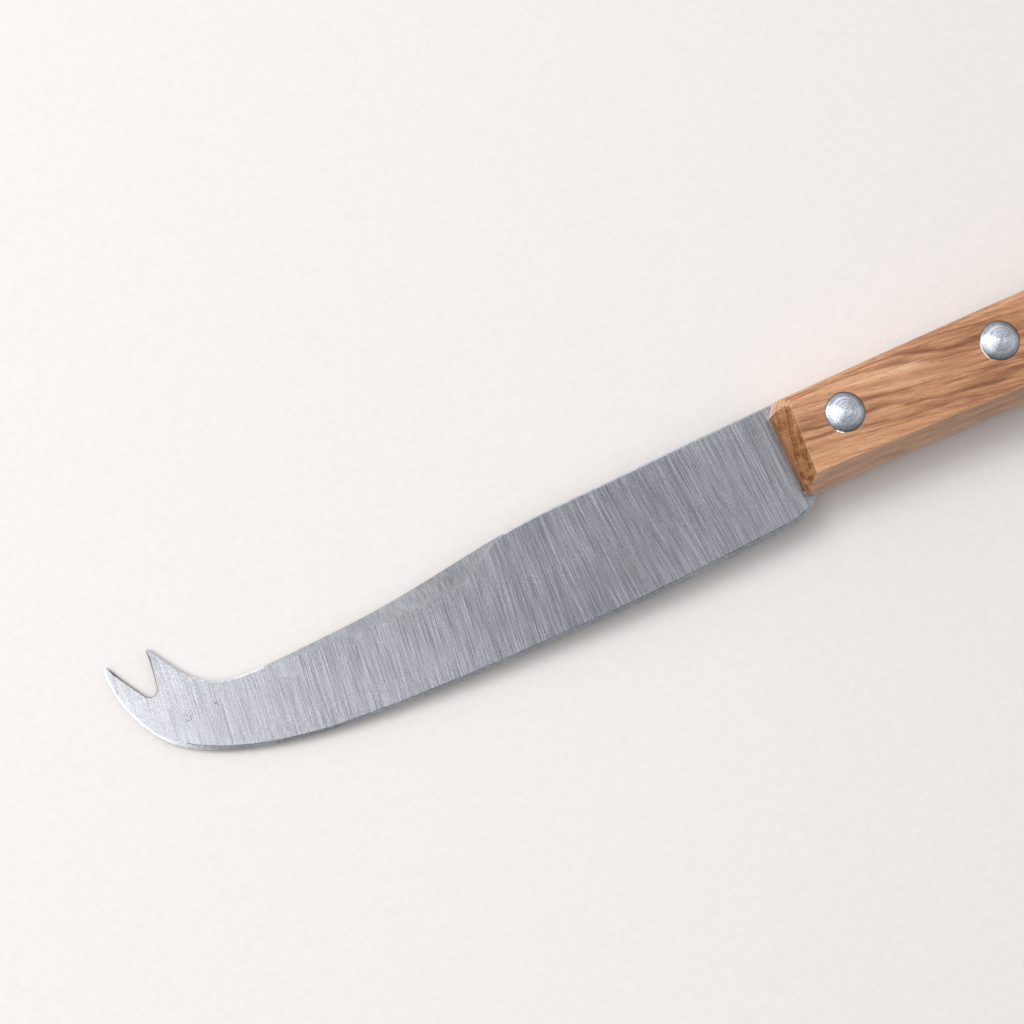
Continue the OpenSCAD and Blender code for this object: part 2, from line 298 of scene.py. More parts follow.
# The room is bright overhead, dim behind the camera and grey elsewhere
world = bpy.data.worlds.new("pale_room")
world.use_nodes = True
tree = world.node_tree
way = add(tree, "TexCoord").outputs["Generated"]
ahead = add(tree, "VectorMath", {
    0: way, 1: (0.41, 0.91, 0.0)}, operation="DOT_PRODUCT").outputs["Value"]
height = add(tree, "SeparateXYZ", {"Vector": way}).outputs["Z"]
height = add(tree, "Math", {0: height, 1: 2.5}, operation="POWER", use_clamp=True).outputs[0]
glow = add(tree, "Math", {0: ahead, 1: 0.16, 2: 0.31}, operation="MULTIPLY_ADD").outputs[0]
glow = add(tree, "Math", {0: height, 1: 0.38, 2: glow}, operation="MULTIPLY_ADD").outputs[0]
feed(tree, tree.nodes["Background"], {"Strength": glow, "Color": linear("F4F6FA")})
bpy.context.scene.world = world

# %% [markdown]
# ## Cross ground stainless steel
# The blade is a stainless strip whose sides were ground with a belt running from
# spine to edge, which leaves fine lines across the blade. They spread reflected
# light along the blade, so it looks brighter where it leans to the window, and the
# lines themselves flicker between light and dark grey. They could be cut into the
# mesh, but there are thousands. So noise that is stretched along the lines drives
# the colour, the shine and the relief. Real lines are a few hundredths of a
# millimetre apart, which is too fine to show, so here they are drawn coarser.

# %% Steel, its ground lines
steel, tree, shader = new_material("cross_ground_stainless_steel")
place = add(tree, "TexCoord").outputs["Object"]
# The belt's lean changes by 9 degrees on the way to the tip, and wavers by 2
parts = add(tree, "SeparateXYZ", {"Vector": place}).outputs
lean = add(tree, "MapRange", {
    "Value": parts["X"], 1: -0.024, 2: -0.044, 3: -0.1, 4: 0.06}).outputs["Result"]
waver = add(tree, "TexNoise", {
    "W": parts["X"], "Scale": 28, "Detail": 1.0}, noise_dimensions="1D").outputs["Fac"]
lean = add(tree, "Math", {0: waver, 1: 0.12, 2: lean}, operation="MULTIPLY_ADD").outputs[0]
slip = add(tree, "Math", {0: lean, 1: parts["Y"]}, operation="MULTIPLY").outputs[0]
across = add(tree, "Math", {0: parts["X"], 1: slip}, operation="SUBTRACT").outputs[0]
belt = add(tree, "CombineXYZ", {"X": across, "Y": parts["Y"], "Z": parts["Z"]}).outputs["Vector"]
# Fine lines 0.09 mm apart and about 8 mm long
lines = add(tree, "TexNoise", {
    "Vector": add(tree, "Mapping", {"Vector": belt, "Scale": (11000, 120, 300)}).outputs["Vector"],
    "Scale": 1.0, "Detail": 2.0, "Roughness": 0.6}).outputs["Fac"]
# Deeper lines 0.2 mm apart, which run right across the blade
deep = add(tree, "TexNoise", {
    "Vector": add(tree, "Mapping", {
        "Vector": belt, "Location": (0.5, 0.3, 0), "Scale": (5200, 30, 100)}).outputs["Vector"],
    "Scale": 1.0, "Detail": 1.0}).outputs["Fac"]
# Fine grain 0.2 mm across, and cloudy tone 12 mm across
grit = add(tree, "TexNoise", {"Vector": place, "Scale": 5000, "Detail": 1.0}).outputs["Fac"]
clouds = add(tree, "TexNoise", {"Vector": place, "Scale": 80, "Detail": 2.0}).outputs["Fac"]
tone = add(tree, "Math", {0: lines, 1: 0.5, 2: -0.32}, operation="MULTIPLY_ADD").outputs[0]
tone = add(tree, "Math", {0: deep, 1: 0.14, 2: tone}, operation="MULTIPLY_ADD").outputs[0]
# The lines fade towards the tip, where the belt ran lightly
calm = add(tree, "MapRange", {
    "Value": parts["X"], 1: -0.07, 2: -0.112, 3: 1.0, 4: 0.42}).outputs["Result"]
tone = add(tree, "Math", {0: tone, 1: calm, 2: 0.32}, operation="MULTIPLY_ADD").outputs[0]
tone = add(tree, "Math", {0: grit, 1: 0.27, 2: tone}, operation="MULTIPLY_ADD").outputs[0]
tone = add(tree, "Math", {0: clouds, 1: 0.09, 2: tone}, operation="MULTIPLY_ADD").outputs[0]
# Painted shade: the blade is darkened about its middle, 33 mm from the middle of the knife,
# standing in for a dimmer reflection there
middle = add(tree, "Math", {0: parts["X"], 1: 0.033}).outputs[0]
middle = add(tree, "Math", {0: middle}, operation="ABSOLUTE").outputs[0]
middle = add(tree, "MapRange", {
    "Value": middle, 1: 0.006, 2: 0.034, 3: 0.036, 4: 0.0},
    interpolation_type="SMOOTHSTEP").outputs["Result"]
tone = add(tree, "Math", {0: tone, 1: middle}, operation="SUBTRACT").outputs[0]
colour = add(tree, "ValToRGB", {"Fac": tone}, stops=[
    (0.39, "87888D"), (0.5, "ABACB1"), (0.61, "CFD0D5")]).outputs["Color"]

# %% Steel, its pits and shine
# Two spots near the tip in millimetres, and how far each reaches
PITTED = (((-119.9, 0.2, 0.7), 1.3), ((-114.4, 0.3, 0.7), 0.8))

# Rust has left pits 0.2 mm across there
pits = add(tree, "TexVoronoi", {"Vector": place, "Scale": 2300}).outputs["Distance"]
pits = add(tree, "MapRange", {
    "Value": pits, 1: 0.2, 2: 0.36, 3: 0.9, 4: 0.0}).outputs["Result"]
for spot, reach in PITTED:
    near = add(tree, "VectorMath", {
        0: place, 1: tuple((np.array(spot) + FRONT) * MM)}, operation="DISTANCE").outputs["Value"]
    near = add(tree, "MapRange", {
        "Value": near, 1: 0.4 * reach * MM, 2: reach * MM, 3: 1.0, 4: 0.0}).outputs["Result"]
    near = add(tree, "Math", {0: pits, 1: near}, operation="MULTIPLY").outputs[0]
    colour = add(tree, "Mix", {
        "Factor": near, 6: colour, 7: linear("2E3035")}, data_type="RGBA").outputs[2]
lay_on(tree, shader, colour, lines, (0.24, 0.32), tone, 0.2, 0.02)
along = add(tree, "Tangent", direction_type="UV_MAP", uv_map="along_blade").outputs["Tangent"]
feed(tree, shader, {"Metallic": 1.0, "Anisotropic": 0.3, "Tangent": along})

# %% [markdown]
# ## Fine ground strips
# The facet along the spine and the cutting bevel are ground last. The facet is held
# across a fine wheel and looks smoother than the sides. The bevel is honed along the
# edge and is bright, with a thin dark line of painted shade where it starts. The
# walls of the notch keep the steps of the saw, and are painted dull and brownish as
# shade, with a thin line of painted shade beside them. One finish could serve for all
# of them, but each tool leaves its own grain and grey. So each face of the blade has
# the number of the finish that its tool left, or of its painted shade.

# %% Strip finishes
# Grains per metre, for a grain 0.15 mm wide and 2 mm long or 0.2 mm wide and 0.7 mm
# long, and three greys from dark to light
STRIPS = (
    ("wheel_ground_stainless_steel", (7000, 500, 500), ("7E7F84", "97989C", "B0B1B5")),
    ("honed_stainless_steel", (1500, 5000, 5000), ("9C9EA3", "B8BABF", "D4D6DB")),
    ("painted_shade_line_stainless_steel", (1500, 5000, 5000), ("55555B", "6A6B72", "86878E")))

strip_finishes = []
for name, scale, greys in STRIPS:
    finish, tree, shader = new_material(name)
    place = add(tree, "TexCoord").outputs["Object"]
    grit = add(tree, "TexNoise", {
        "Vector": add(tree, "Mapping", {"Vector": place, "Scale": scale}).outputs["Vector"],
        "Scale": 1.0, "Detail": 3.0}).outputs["Fac"]
    # Cloudy tone 8 mm across
    clouds = add(tree, "TexNoise", {"Vector": place, "Scale": 120, "Detail": 1.0}).outputs["Fac"]
    tone = add(tree, "Math", {0: clouds, 1: 0.2, 2: 0.12}, operation="MULTIPLY_ADD").outputs[0]
    tone = add(tree, "Math", {0: grit, 1: 0.56, 2: tone}, operation="MULTIPLY_ADD").outputs[0]
    colour = add(tree, "ValToRGB", {"Fac": tone}, stops=list(zip((0.36, 0.5, 0.64), greys)))
    lay_on(tree, shader, colour.outputs["Color"], grit, (0.3, 0.4), grit, 0.2, 0.02)
    feed(tree, shader, {"Metallic": 1.0})
    strip_finishes.append(finish)

# %% Sawn finish, painted with shade
sawn_steel_painted_shade, tree, shader = new_material("sawn_stainless_steel_painted_shade")
place = add(tree, "TexCoord").outputs["Object"]
# Steps of the saw 0.15 mm apart, which run along the wall
steps = add(tree, "TexNoise", {
    "Vector": add(tree, "Mapping", {"Vector": place, "Scale": (500, 500, 6500)}).outputs["Vector"],
    "Scale": 1.0, "Detail": 2.0}).outputs["Fac"]
# The dark brownish greys are painted shade: they darken the notch's walls and the lines beside them
# as if these reflected shaded ground
colour = add(tree, "ValToRGB", {"Fac": steps}, stops=[(0.35, "4A433F"), (0.65, "7A716B")])
lay_on(tree, shader, colour.outputs["Color"], steps, (0.4, 0.55), steps, 0.3, 0.04)
feed(tree, shader, {"Metallic": 1.0})

# %% [markdown]
# ## Oiled olive wood
# Olive wood is close grained, warm yellow to orange brown, with darker wavy
# strands that follow its growth layers. The layers lie nearly flat in the scale,
# so they show as long flowing bands on its face and as thin lines on its front
# end. The grain could be drawn flat and wrapped round the scale, but it would break
# at every arris. So the pattern is a solid one: it is worked out from the place in
# the wood, and every face that the maker cut shows the right section through it.

# %% Wood, its grain
# Streaks per metre along, across and down the grain, their detail and their roughness
GRAIN = (
    # The growth layers wander over 33 mm of length
    ((30, 130, 130), 3.0, 0.5),
    # Fibres 0.3 mm thick and 6 mm long
    ((170, 3300, 3300), 4.0, 0.7),
    # Strands, bundles of fibres 1.2 mm thick and 25 mm long
    ((40, 850, 850), 4.0, 0.6),
    # Broad patches, browner or more yellow, 40 mm long
    ((26, 130, 130), 1.0, 0.5),
    # Pores, dark dashes 0.15 mm thick and 1 mm long
    ((1000, 7000, 7000), 1.0, 0.5))

wood, tree, shader = new_material("oiled_olive_wood")
place = add(tree, "TexCoord").outputs["Object"]
# The grain runs 9 degrees off the length of the handle
turned = add(tree, "Mapping", {"Vector": place, "Rotation": (0, 0, 0.157)}).outputs["Vector"]
wander, fibres, strands, patches, pores = (
    add(tree, "TexNoise", {
        "Vector": add(tree, "Mapping", {"Vector": turned, "Scale": scale}).outputs["Vector"],
        "Scale": 1.0, "Detail": detail, "Roughness": roughness}).outputs["Fac"]
    for scale, detail, roughness in GRAIN)
# Depth of a place in the growth layers, which lie nearly flat and wander by 0.3 mm
depth = add(tree, "VectorMath", {
    0: turned, 1: (0.0, -0.14, 1.0)}, operation="DOT_PRODUCT").outputs["Value"]
depth = add(tree, "Math", {0: wander, 1: 0.0012, 2: depth}, operation="MULTIPLY_ADD").outputs[0]
# Growth layers about 0.6 mm thick, uneven, each made of finer ones
layers = add(tree, "TexNoise", {
    "W": depth, "Scale": 1700, "Detail": 6.0, "Roughness": 0.68},
    noise_dimensions="1D").outputs["Fac"]
tone = 0.0
for pattern, share in ((fibres, 0.34), (strands, 0.28), (layers, 0.18), (patches, 0.2)):
    tone = add(
        tree, "Math", {0: pattern, 1: share, 2: tone}, operation="MULTIPLY_ADD").outputs[0]
colour = add(tree, "ValToRGB", {"Fac": tone}, stops=[
    (0.39, "8A5A3B"), (0.45, "AC774F"), (0.5, "C08B64"), (0.55, "CD9971"),
    (0.61, "DCB08C")]).outputs["Color"]

# %% Wood, its dark strands, cut faces and painted light
# Dark layers as shares of 5 mm of depth, with half widths and strengths as hex greys
DARK_LAYERS = (
    (0.08, 0.02, "B0"), (0.19, 0.03, "D0"), (0.3, 0.02, "A0"), (0.42, 0.04, "FF"),
    (0.49, 0.035, "E8"), (0.616, 0.025, "F0"), (0.72, 0.03, "F8"))

# Dark heartwood strands: layers at known depths, and others where a layer runs dark
stops = []
for at, width, strength in DARK_LAYERS:
    stops += [(at - width, "000000"), (at, strength * 3), (at + 0.7 * width, "000000")]
known = add(tree, "MapRange", {"Value": depth, 1: 0.010, 2: 0.015}).outputs["Result"]
known = add(tree, "ValToRGB", {"Fac": known}, stops=stops).outputs["Color"]
dark = add(tree, "MapRange", {
    "Value": layers, 1: 0.4, 2: 0.28, 3: 0.0, 4: 0.6}).outputs["Result"]
dark = add(tree, "Math", {0: known, 1: dark}, operation="MAXIMUM").outputs[0]
# The fibres and strands break them up
broken = add(tree, "Math", {0: fibres, 1: strands}, operation="ADD").outputs[0]
broken = add(tree, "MapRange", {
    "Value": broken, 1: 1.3, 2: 0.92, 3: 0.15, 4: 1.0}).outputs["Result"]
dark = add(tree, "Math", {0: dark, 1: broken}, operation="MULTIPLY").outputs[0]
pores = add(tree, "MapRange", {
    "Value": pores, 1: 0.62, 2: 0.72, 3: 0.0, 4: 0.5}).outputs["Result"]
# End grain drinks more oil, so the front that is cut across the fibres is browner and duller
normal = add(tree, "NewGeometry").outputs["True Normal"]
facing = add(tree, "SeparateXYZ", {"Vector": normal}).outputs
end_grain = add(tree, "Math", {0: facing["X"]}, operation="ABSOLUTE").outputs[0]
upward = add(tree, "Math", {0: facing["Y"], 1: 0.0}, operation="MAXIMUM").outputs[0]
end_grain = add(tree, "Math", {
    0: upward, 1: -0.9, 2: end_grain}, operation="MULTIPLY_ADD").outputs[0]
end_grain = add(tree, "MapRange", {"Value": end_grain, 1: 0.2, 2: 0.65}).outputs["Result"]
# Painted highlight: faces turned to -X and +Y, towards the window, such as the cut corner at the
# front, are painted pale
painted_window_light = add(tree, "Math", {0: facing["X"], 1: upward}, operation="MULTIPLY").outputs[0]
painted_window_light = add(tree, "MapRange", {
    "Value": painted_window_light, 1: -0.2, 2: -0.4, 3: 0.0, 4: 0.7}).outputs["Result"]
# Painted reflection: the belly's bevel, turned to -Y, is painted greyer as a sheen
painted_belly_sheen = add(tree, "MapRange", {
    "Value": facing["Y"], 1: -0.3, 2: -0.65, 3: 0.0, 4: 0.45}).outputs["Result"]
for share, stain, way in (
        (dark, "A98267", "MULTIPLY"), (pores, "70472D", "MIX"), (painted_window_light, "F0D6C6", "MIX"),
        (end_grain, "C6C2B5", "MULTIPLY"), (painted_belly_sheen, "B9A08C", "MIX")):
    colour = add(tree, "Mix", {
        "Factor": share, 6: colour, 7: linear(stain)}, data_type="RGBA", blend_type=way).outputs[2]

# %% Wood, its relief and shine
grain = add(tree, "Math", {0: fibres, 1: pores}, operation="SUBTRACT").outputs[0]
bump = add(tree, "Bump", {"Height": grain, "Strength": 0.35, "Distance": 0.06 * MM})
rough = add(tree, "MapRange", {
    "Value": fibres, 1: 0.3, 2: 0.7, 3: 0.4, 4: 0.55}).outputs["Result"]
shine = add(tree, "MapRange", {"Value": end_grain, 3: 0.6, 4: 0.08}).outputs["Result"]
rough = add(tree, "Math", {0: end_grain, 1: 0.25, 2: rough}, operation="MULTIPLY_ADD").outputs[0]
feed(tree, shader, {
    "Base Color": colour, "Roughness": rough, "Specular IOR Level": shine,
    "Sheen Weight": 0.06, "Normal": bump.outputs["Normal"]})

# %% Rubbed arris finish with painted highlight
rubbed_wood_and_highlight, tree, shader = new_material("rubbed_olive_arris_and_highlight")
place = add(tree, "TexCoord").outputs["Object"]
# Wear that comes and goes every 2 mm
wear = add(tree, "TexNoise", {"Vector": place, "Scale": 500, "Detail": 3.0}).outputs["Fac"]
# Its light colour is partly wear and partly a painted highlight where the rounded arris turns to
# the window
colour = add(tree, "ValToRGB", {"Fac": wear}, stops=[(0.35, "C9966C"), (0.65, "E9C29C")])
lay_on(tree, shader, colour.outputs["Color"], wear, (0.36, 0.24), wear, 0.2, 0.04)
feed(tree, shader, {"Specular IOR Level": 0.9})

# %% Torn fibre finish
torn_wood, tree, shader = new_material("torn_olive_fibre")
place = add(tree, "TexCoord").outputs["Object"]
# Strings 0.17 mm thick
strings = add(tree, "TexNoise", {"Vector": place, "Scale": 6000, "Detail": 2.0}).outputs["Fac"]
colour = add(tree, "ValToRGB", {"Fac": strings}, stops=[(0.35, "EBCFB2"), (0.55, "FFF3E4")])
lay_on(tree, shader, colour.outputs["Color"], strings, (0.68, 0.82), strings, 0.4, 0.05)

# %% [markdown]
# ## Turned aluminium
# The rivets are soft aluminium, headed with a cupped tool that spun on them. It
# left rings round the middle of each dome, which spread light outwards and give the
# fan of bright streaks. The rings could be turned into the profile, but they are
# finer than its steps. So they are a pattern that follows the piece's own map: one
# way is the distance from the axis, the other the turn round it.

# %% Aluminium
aluminium, tree, shader = new_material("spun_aluminium")
map_place = add(tree, "UVMap", uv_map="from_axis").outputs["UV"]
place = add(tree, "TexCoord").outputs["Object"]
# Rings 0.15 mm apart
rings = add(tree, "TexNoise", {
    "Vector": add(tree, "Mapping", {"Vector": map_place, "Scale": (7.0, 0.9, 0)}).outputs["Vector"],
    "Scale": 1.0, "Detail": 4.0, "Roughness": 0.7}).outputs["Fac"]
# Scuffs half a millimetre across
scuffs = add(tree, "TexNoise", {"Vector": place, "Scale": 1800, "Detail": 3.0}).outputs["Fac"]
tone = add(tree, "Math", {0: rings, 1: 0.8, 2: 0.0}, operation="MULTIPLY_ADD").outputs[0]
tone = add(tree, "Math", {0: scuffs, 1: 0.2, 2: tone}, operation="MULTIPLY_ADD").outputs[0]
colour = add(tree, "ValToRGB", {"Fac": tone}, stops=[
    (0.38, "98A0AC"), (0.5, "D8DDE5"), (0.6, "FAFBFC")]).outputs["Color"]
# Painted shade: the last millimetre before the rim is darkened, standing in for the dark room that
# it reflects
distance = add(tree, "SeparateXYZ", {"Vector": map_place}).outputs["X"]
painted_rim_shade = add(tree, "MapRange", {
    "Value": distance, 1: 2.7, 2: 3.7, 3: 0.0, 4: 0.8}).outputs["Result"]
colour = add(tree, "Mix", {
    "Factor": painted_rim_shade, 6: colour, 7: linear("596068")}, data_type="RGBA").outputs[2]
lay_on(tree, shader, colour, scuffs, (0.22, 0.34), tone, 0.9, 0.1)
outward = add(tree, "Tangent", direction_type="UV_MAP", uv_map="from_axis").outputs["Tangent"]
feed(tree, shader, {"Metallic": 1.0, "Anisotropic": 0.6, "Tangent": outward})

# %% [markdown]
# ## Scales
# Each scale is a block of wood that was sawn to the outline of the tang, drilled,
# and then shaped: a bevel across its front, a sloping bevel along the belly, and a
# round along the spine side and the butt. A block could be given these with
# Blender's Bevel, but their widths change along the handle. So its side is a
# surface of two parameters, the height above the steel and the way round the
# outline. The inner and outer faces are each cut in two along the row of rivets, so
# that each half is one flat face with half rounds for the bores.

# %% Measures of the scales
HANDLE_L = 105.0
SPINE_UP = 7.3
BELLY_DOWN = 11.126
SPINE_DROP = 1.6
BELLY_SWELL = 3.2
BUTT_L = 15.0
FRONT_BEVEL_W = 2.4
FRONT_BEVEL_TOP_W = 3.5
FRONT_BEVEL_H = 2.3
BELLY_BEVEL_W = 3.1
BELLY_BEVEL_END_W = 2.0
BELLY_BEVEL_H = 3.2
SPINE_ROUND_R = 1.9
BUTT_ROUND_R = 3.2
CORNER_CUT_L = 1.5
CORNER_CUT_H = 2.1
CORNER_R = 1.3
CORNER_CLOSE = 0.8
CUT_CLOSE = 0.6
BUTT_POWER = 0.86
BORE_STEPS = 64
CORNER_STEPS = 9
ALONG_STEPS = 60
BUTT_STEPS = 24
ARRIS = 0.14
ARRIS_A = 18

# %% Lines of the handle
def spine_side(x):
    """Falls away from the straight as the square of the way to the butt."""
    return SPINE_UP - SPINE_DROP * (x / HANDLE_L) ** 2


def belly_line(x, rise):
    """Swells by half a cosine wave to the butt, and is drawn in by its share of the bevel."""
    swell = BELLY_SWELL * (1 - np.cos(np.pi * x / HANDLE_L)) / 2
    bevel = BELLY_BEVEL_W + (BELLY_BEVEL_END_W - BELLY_BEVEL_W) * x / HANDLE_L
    return rise * bevel - BELLY_DOWN - swell


def rise(z, h):
    """Share of a bevel of height h that has been climbed at height z."""
    return np.maximum(0, (z - HANDLE_HALF + h) / h)


def round_in(z, r):
    """How far a quarter round of radius r has drawn in at height z."""
    u = np.maximum(0, z - HANDLE_HALF + r)
    return r - np.sqrt(np.maximum(0, r * r - u * u))


def butt_places(turned, end_l, top_in, belly):
    """Near ellipse: length goes as sine, height as cosine of the turn, both to the butt power."""
    x = HANDLE_L - BUTT_L + end_l * np.abs(np.sin(turned)) ** BUTT_POWER
    top = spine_side(x) - top_in
    low = belly_line(x, belly)
    reach = np.sign(np.cos(turned)) * np.abs(np.cos(turned)) ** BUTT_POWER
    return x, (top + low) / 2 + (top - low) / 2 * reach


# %% Side of a scale
def scale_side(z):
    """Side of a scale: rows are heights z, columns go up the front, along the spine and back.

    Every row has a point on the row of rivets at the front and at the butt, and
    their columns are returned with the points.
    """
    z = z[:, None]
    front = rise(z, FRONT_BEVEL_H)
    belly = rise(z, BELLY_BEVEL_H)
    top_in = round_in(z, SPINE_ROUND_R)
    corner = CORNER_R * (1 - CORNER_CLOSE * front)
    cut = 1 - CUT_CLOSE * front
    top_x = FRONT_BEVEL_TOP_W * front
    cut_x = top_x + CORNER_CUT_L * cut
    belly_x = FRONT_BEVEL_W * front + corner
    belly_y = belly_line(belly_x, belly)
    turned = np.linspace(np.pi / 2, 0, CORNER_STEPS)[None]
    corner_x = belly_x - corner * np.cos(turned)
    corner_y = belly_y + corner * (1 - np.sin(turned))
    top_y = spine_side(cut_x) - top_in - CORNER_CUT_H * cut
    share = -corner_y[:, -1:] / (top_y - corner_y[:, -1:])
    cross_x = corner_x[:, -1:] + (top_x - corner_x[:, -1:]) * share
    along = np.linspace(0, 1, ALONG_STEPS, endpoint=False)[None]
    spine_x = cut_x + (HANDLE_L - BUTT_L - cut_x) * along
    end_l = BUTT_L - round_in(z, BUTT_ROUND_R)
    table = np.linspace(0, np.pi, 721)[None]
    table_y = butt_places(table, end_l, top_in, belly)[1]
    middle = np.array([np.interp(0, -row, table[0]) for row in table_y])[:, None]
    half = np.linspace(0, 1, BUTT_STEPS + 1)[None]
    turned = np.concatenate([middle * half, middle + (np.pi - middle) * half[:, 1:]], axis=1)
    butt_x, butt_y = butt_places(turned, end_l, top_in, belly)
    back_x = belly_x + (HANDLE_L - BUTT_L - belly_x) * along[:, :0:-1]
    x = np.concatenate([corner_x, cross_x, top_x, spine_x, butt_x, back_x], axis=1)
    y = np.concatenate([
        corner_y, 0 * cross_x, top_y, spine_side(spine_x) - top_in, butt_y,
        belly_line(back_x, belly)], axis=1)
    at_front = corner_x.shape[1]
    at_butt = at_front + 2 + ALONG_STEPS + BUTT_STEPS
    return np.stack([x, y, z + 0 * x], axis=2), at_front, at_butt


# %% Faces of a bored plate
def grid_faces(index):
    """Four cornered faces between the rows of an index grid that closes round its columns."""
    right = np.roll(index, -1, axis=1)
    return np.stack([index[:-1], right[:-1], right[1:], index[1:]], axis=2).reshape(-1, 4).tolist()


def halves(outline, at_front, at_butt, bores):
    """Two flat faces that meet along the row of rivets, each with half rounds for the bores."""
    middle = bores.shape[1] // 2
    upper = list(outline[at_front:at_butt + 1])
    lower = list(outline[at_butt:]) + list(outline[:at_front + 1])
    for bore in bores[::-1]:
        upper += list(bore[:middle + 1])
    for bore in bores:
        lower += list(bore[middle:]) + [bore[0]]
    return [[int(i) for i in upper], [int(i) for i in lower]]


def bored_plate(levels, radius, height):
    """Points and faces of a plate in the handle's outline, with a stepped bore for each rivet.

    levels are the heights of the side, radius and height those of the bore's steps.
    """
    side, at_front, at_butt = scale_side(levels)
    rows, columns = side.shape[:2]
    turned = np.arange(BORE_STEPS) * 2 * np.pi / BORE_STEPS
    bore_x = RIVET_X[:, None, None] + radius[:, None] * np.cos(turned)
    bore_y = radius[:, None] * np.sin(turned) + 0 * bore_x
    bores = np.stack([bore_x, bore_y, height[:, None] + 0 * bore_x], axis=3)
    index = np.arange(rows * columns).reshape(rows, columns)
    bore_index = rows * columns + np.arange(bores[..., 0].size).reshape(bores.shape[:3])
    faces = grid_faces(index)
    for bore in bore_index:
        faces += grid_faces(bore)
    faces += halves(index[-1], at_front, at_butt, bore_index[:, 0])
    faces += halves(index[0], at_front, at_butt, bore_index[:, -1])
    return np.concatenate([side.reshape(-1, 3), bores.reshape(-1, 3)]), faces


# %% Two scales
# The levels crowd to the outer face as this power
CROWDING = 1.7

scale_levels = np.concatenate([
    [HALF_STOCK],
    np.linspace(HANDLE_HALF - BELLY_BEVEL_H, HANDLE_HALF - FRONT_BEVEL_H, 6)[:-1],
    HANDLE_HALF - FRONT_BEVEL_H * (1 - np.linspace(0, 1, 22)) ** CROWDING])
scale_points, scale_faces = bored_plate(
    scale_levels,
    np.array([HEAD_R, HEAD_R, SHANK_R, SHANK_R]) + RIVET_GAP,
    np.array([HANDLE_HALF, SEAT_Z, SEAT_Z, HALF_STOCK]))
for node, name, side in (("scale_left", "upper_scale", 1), ("scale_right", "under_scale", -1)):
    scale = add_mesh(name, scale_points * (1, 1, side), scale_faces)
    soften(scale, ARRIS, segments=3, angle=ARRIS_A)
    dress(scale, [wood, rubbed_wood_and_highlight], "wood", node)

# %% [markdown]
# ## Blade
# The blade and its tang are one piece of steel. The maker cuts the outline from
# sheet, grinds both sides thinner to the edge and to the tip, grinds a long facet
# off the dipped part of the spine and a narrow bevel along the edge, and saws the
# notch that makes the fork. A flat plate could be bevelled round its outline, but
# its sides wouldn't fall to the edge and the tip, which is what makes them catch
# the light. So the blade is a sheet of straight lines drawn from a point on the
# spine to a point on the edge. At each place its half thickness is
# the least of three slopes: the ground side, the facet and the bevel. Past the
# bottom of the notch the sheet goes on as two, one for each point of the fork.

# %% Measures of the blade
BLADE_L = 130.0
BLADE_W = 23.0
SPINE_CUT = 0.03
EDGE_CUT = 0.45
TAPER_CUT = 0.2
HOOK_CUT = 0.12
BEVEL_A = 20.0
LAND_T = 0.1
HEEL_R = 8.7
HEEL_DROP = 3.7
BREAK_W = 0.3
BREAK_CUT = 0.04
FACET_W = 4.3
FACET_CUT = 0.25
# Shares of the blade's length between which the facet starts, and narrows to a break
FACET_START = (0.41, 0.515)
FACET_NARROWS = (0.505, 0.8)
NOTCH_R = 1.45
LOWER_WALL_A = 120.5
UPPER_WALL_A = 80.0
LEAD_SHARE = 0.3
# Share of the hook at which the bevel starts to fade, and the share that it takes
KEEN_END = 0.22
KEEN_FADE = 0.42
NOSE_W = 1.1
NOSE_L = 2.5
SHADE_LINE_W = 0.12
SPINE_CURVE = np.array([
    [0, -0.01], [0.11, -0.014], [0.22, 0.009], [0.335, 0.01], [0.452, 0.011], [0.55, 0.16],
    [0.677, 0.179], [0.724, 0.186], [0.762, 0.196], [0.807, 0.194], [0.885, 0.19],
    [0.9, 0.045], [0.9347, -0.3145]])
EDGE_CURVE = np.array([
    [0.04, 0.962], [0.115, 0.97], [0.215, 1], [0.3325, 0.99], [0.474, 0.978], [0.65, 0.947],
    [0.7457, 0.874], [0.83, 0.81], [0.91, 0.685], [0.953, 0.467], [0.988, 0.289],
    [1.011, -0.128], [1, -0.3247]])
NOTCH_MID = np.array([-0.9558 * BLADE_L, SPINE_UP + 0.0174 * BLADE_W])
HOOK_Y = SPINE_UP - 0.1 * BLADE_W

# %% Lines from the spine to the edge
def on_chain(shares, t):
    """Chain of cubic curves, each a blend of four points, as shares of the blade's size."""
    i = np.minimum(t.astype(int), (len(shares) - 1) // 3 - 1)
    u = (t - i)[:, None]
    a, b, c, d = (shares[3 * i + k] for k in range(4))
    share = (1 - u) ** 3 * a + 3 * (1 - u) ** 2 * u * b + 3 * (1 - u) * u ** 2 * c + u ** 3 * d
    return np.stack([-share[:, 0] * BLADE_L, SPINE_UP - share[:, 1] * BLADE_W], axis=1)


def ease(t):
    """Soft step: 3 t^2 - 2 t^3 between 0 and 1."""
    c = np.clip(t, 0, 1)
    return c * c * (3 - 2 * c)


def heel_lines(n):
    """From the belly of the handle down the arc of the heel to the start of the edge."""
    t = np.linspace(0, 1, n, endpoint=False)
    edge_end = on_chain(EDGE_CURVE, np.zeros(1))[0]
    turn = np.arccos(1 - HEEL_DROP / HEEL_R) * (1 - t)
    edge = edge_end + HEEL_R * np.stack([np.sin(turn), 1 - np.cos(turn)], axis=1)
    top = on_chain(SPINE_CURVE, np.zeros(1))[0, 1]
    x = edge[0, 0] + (edge_end[0] - edge[0, 0]) * t
    return np.stack([x, top + 0 * x], axis=1), edge, ease(t)


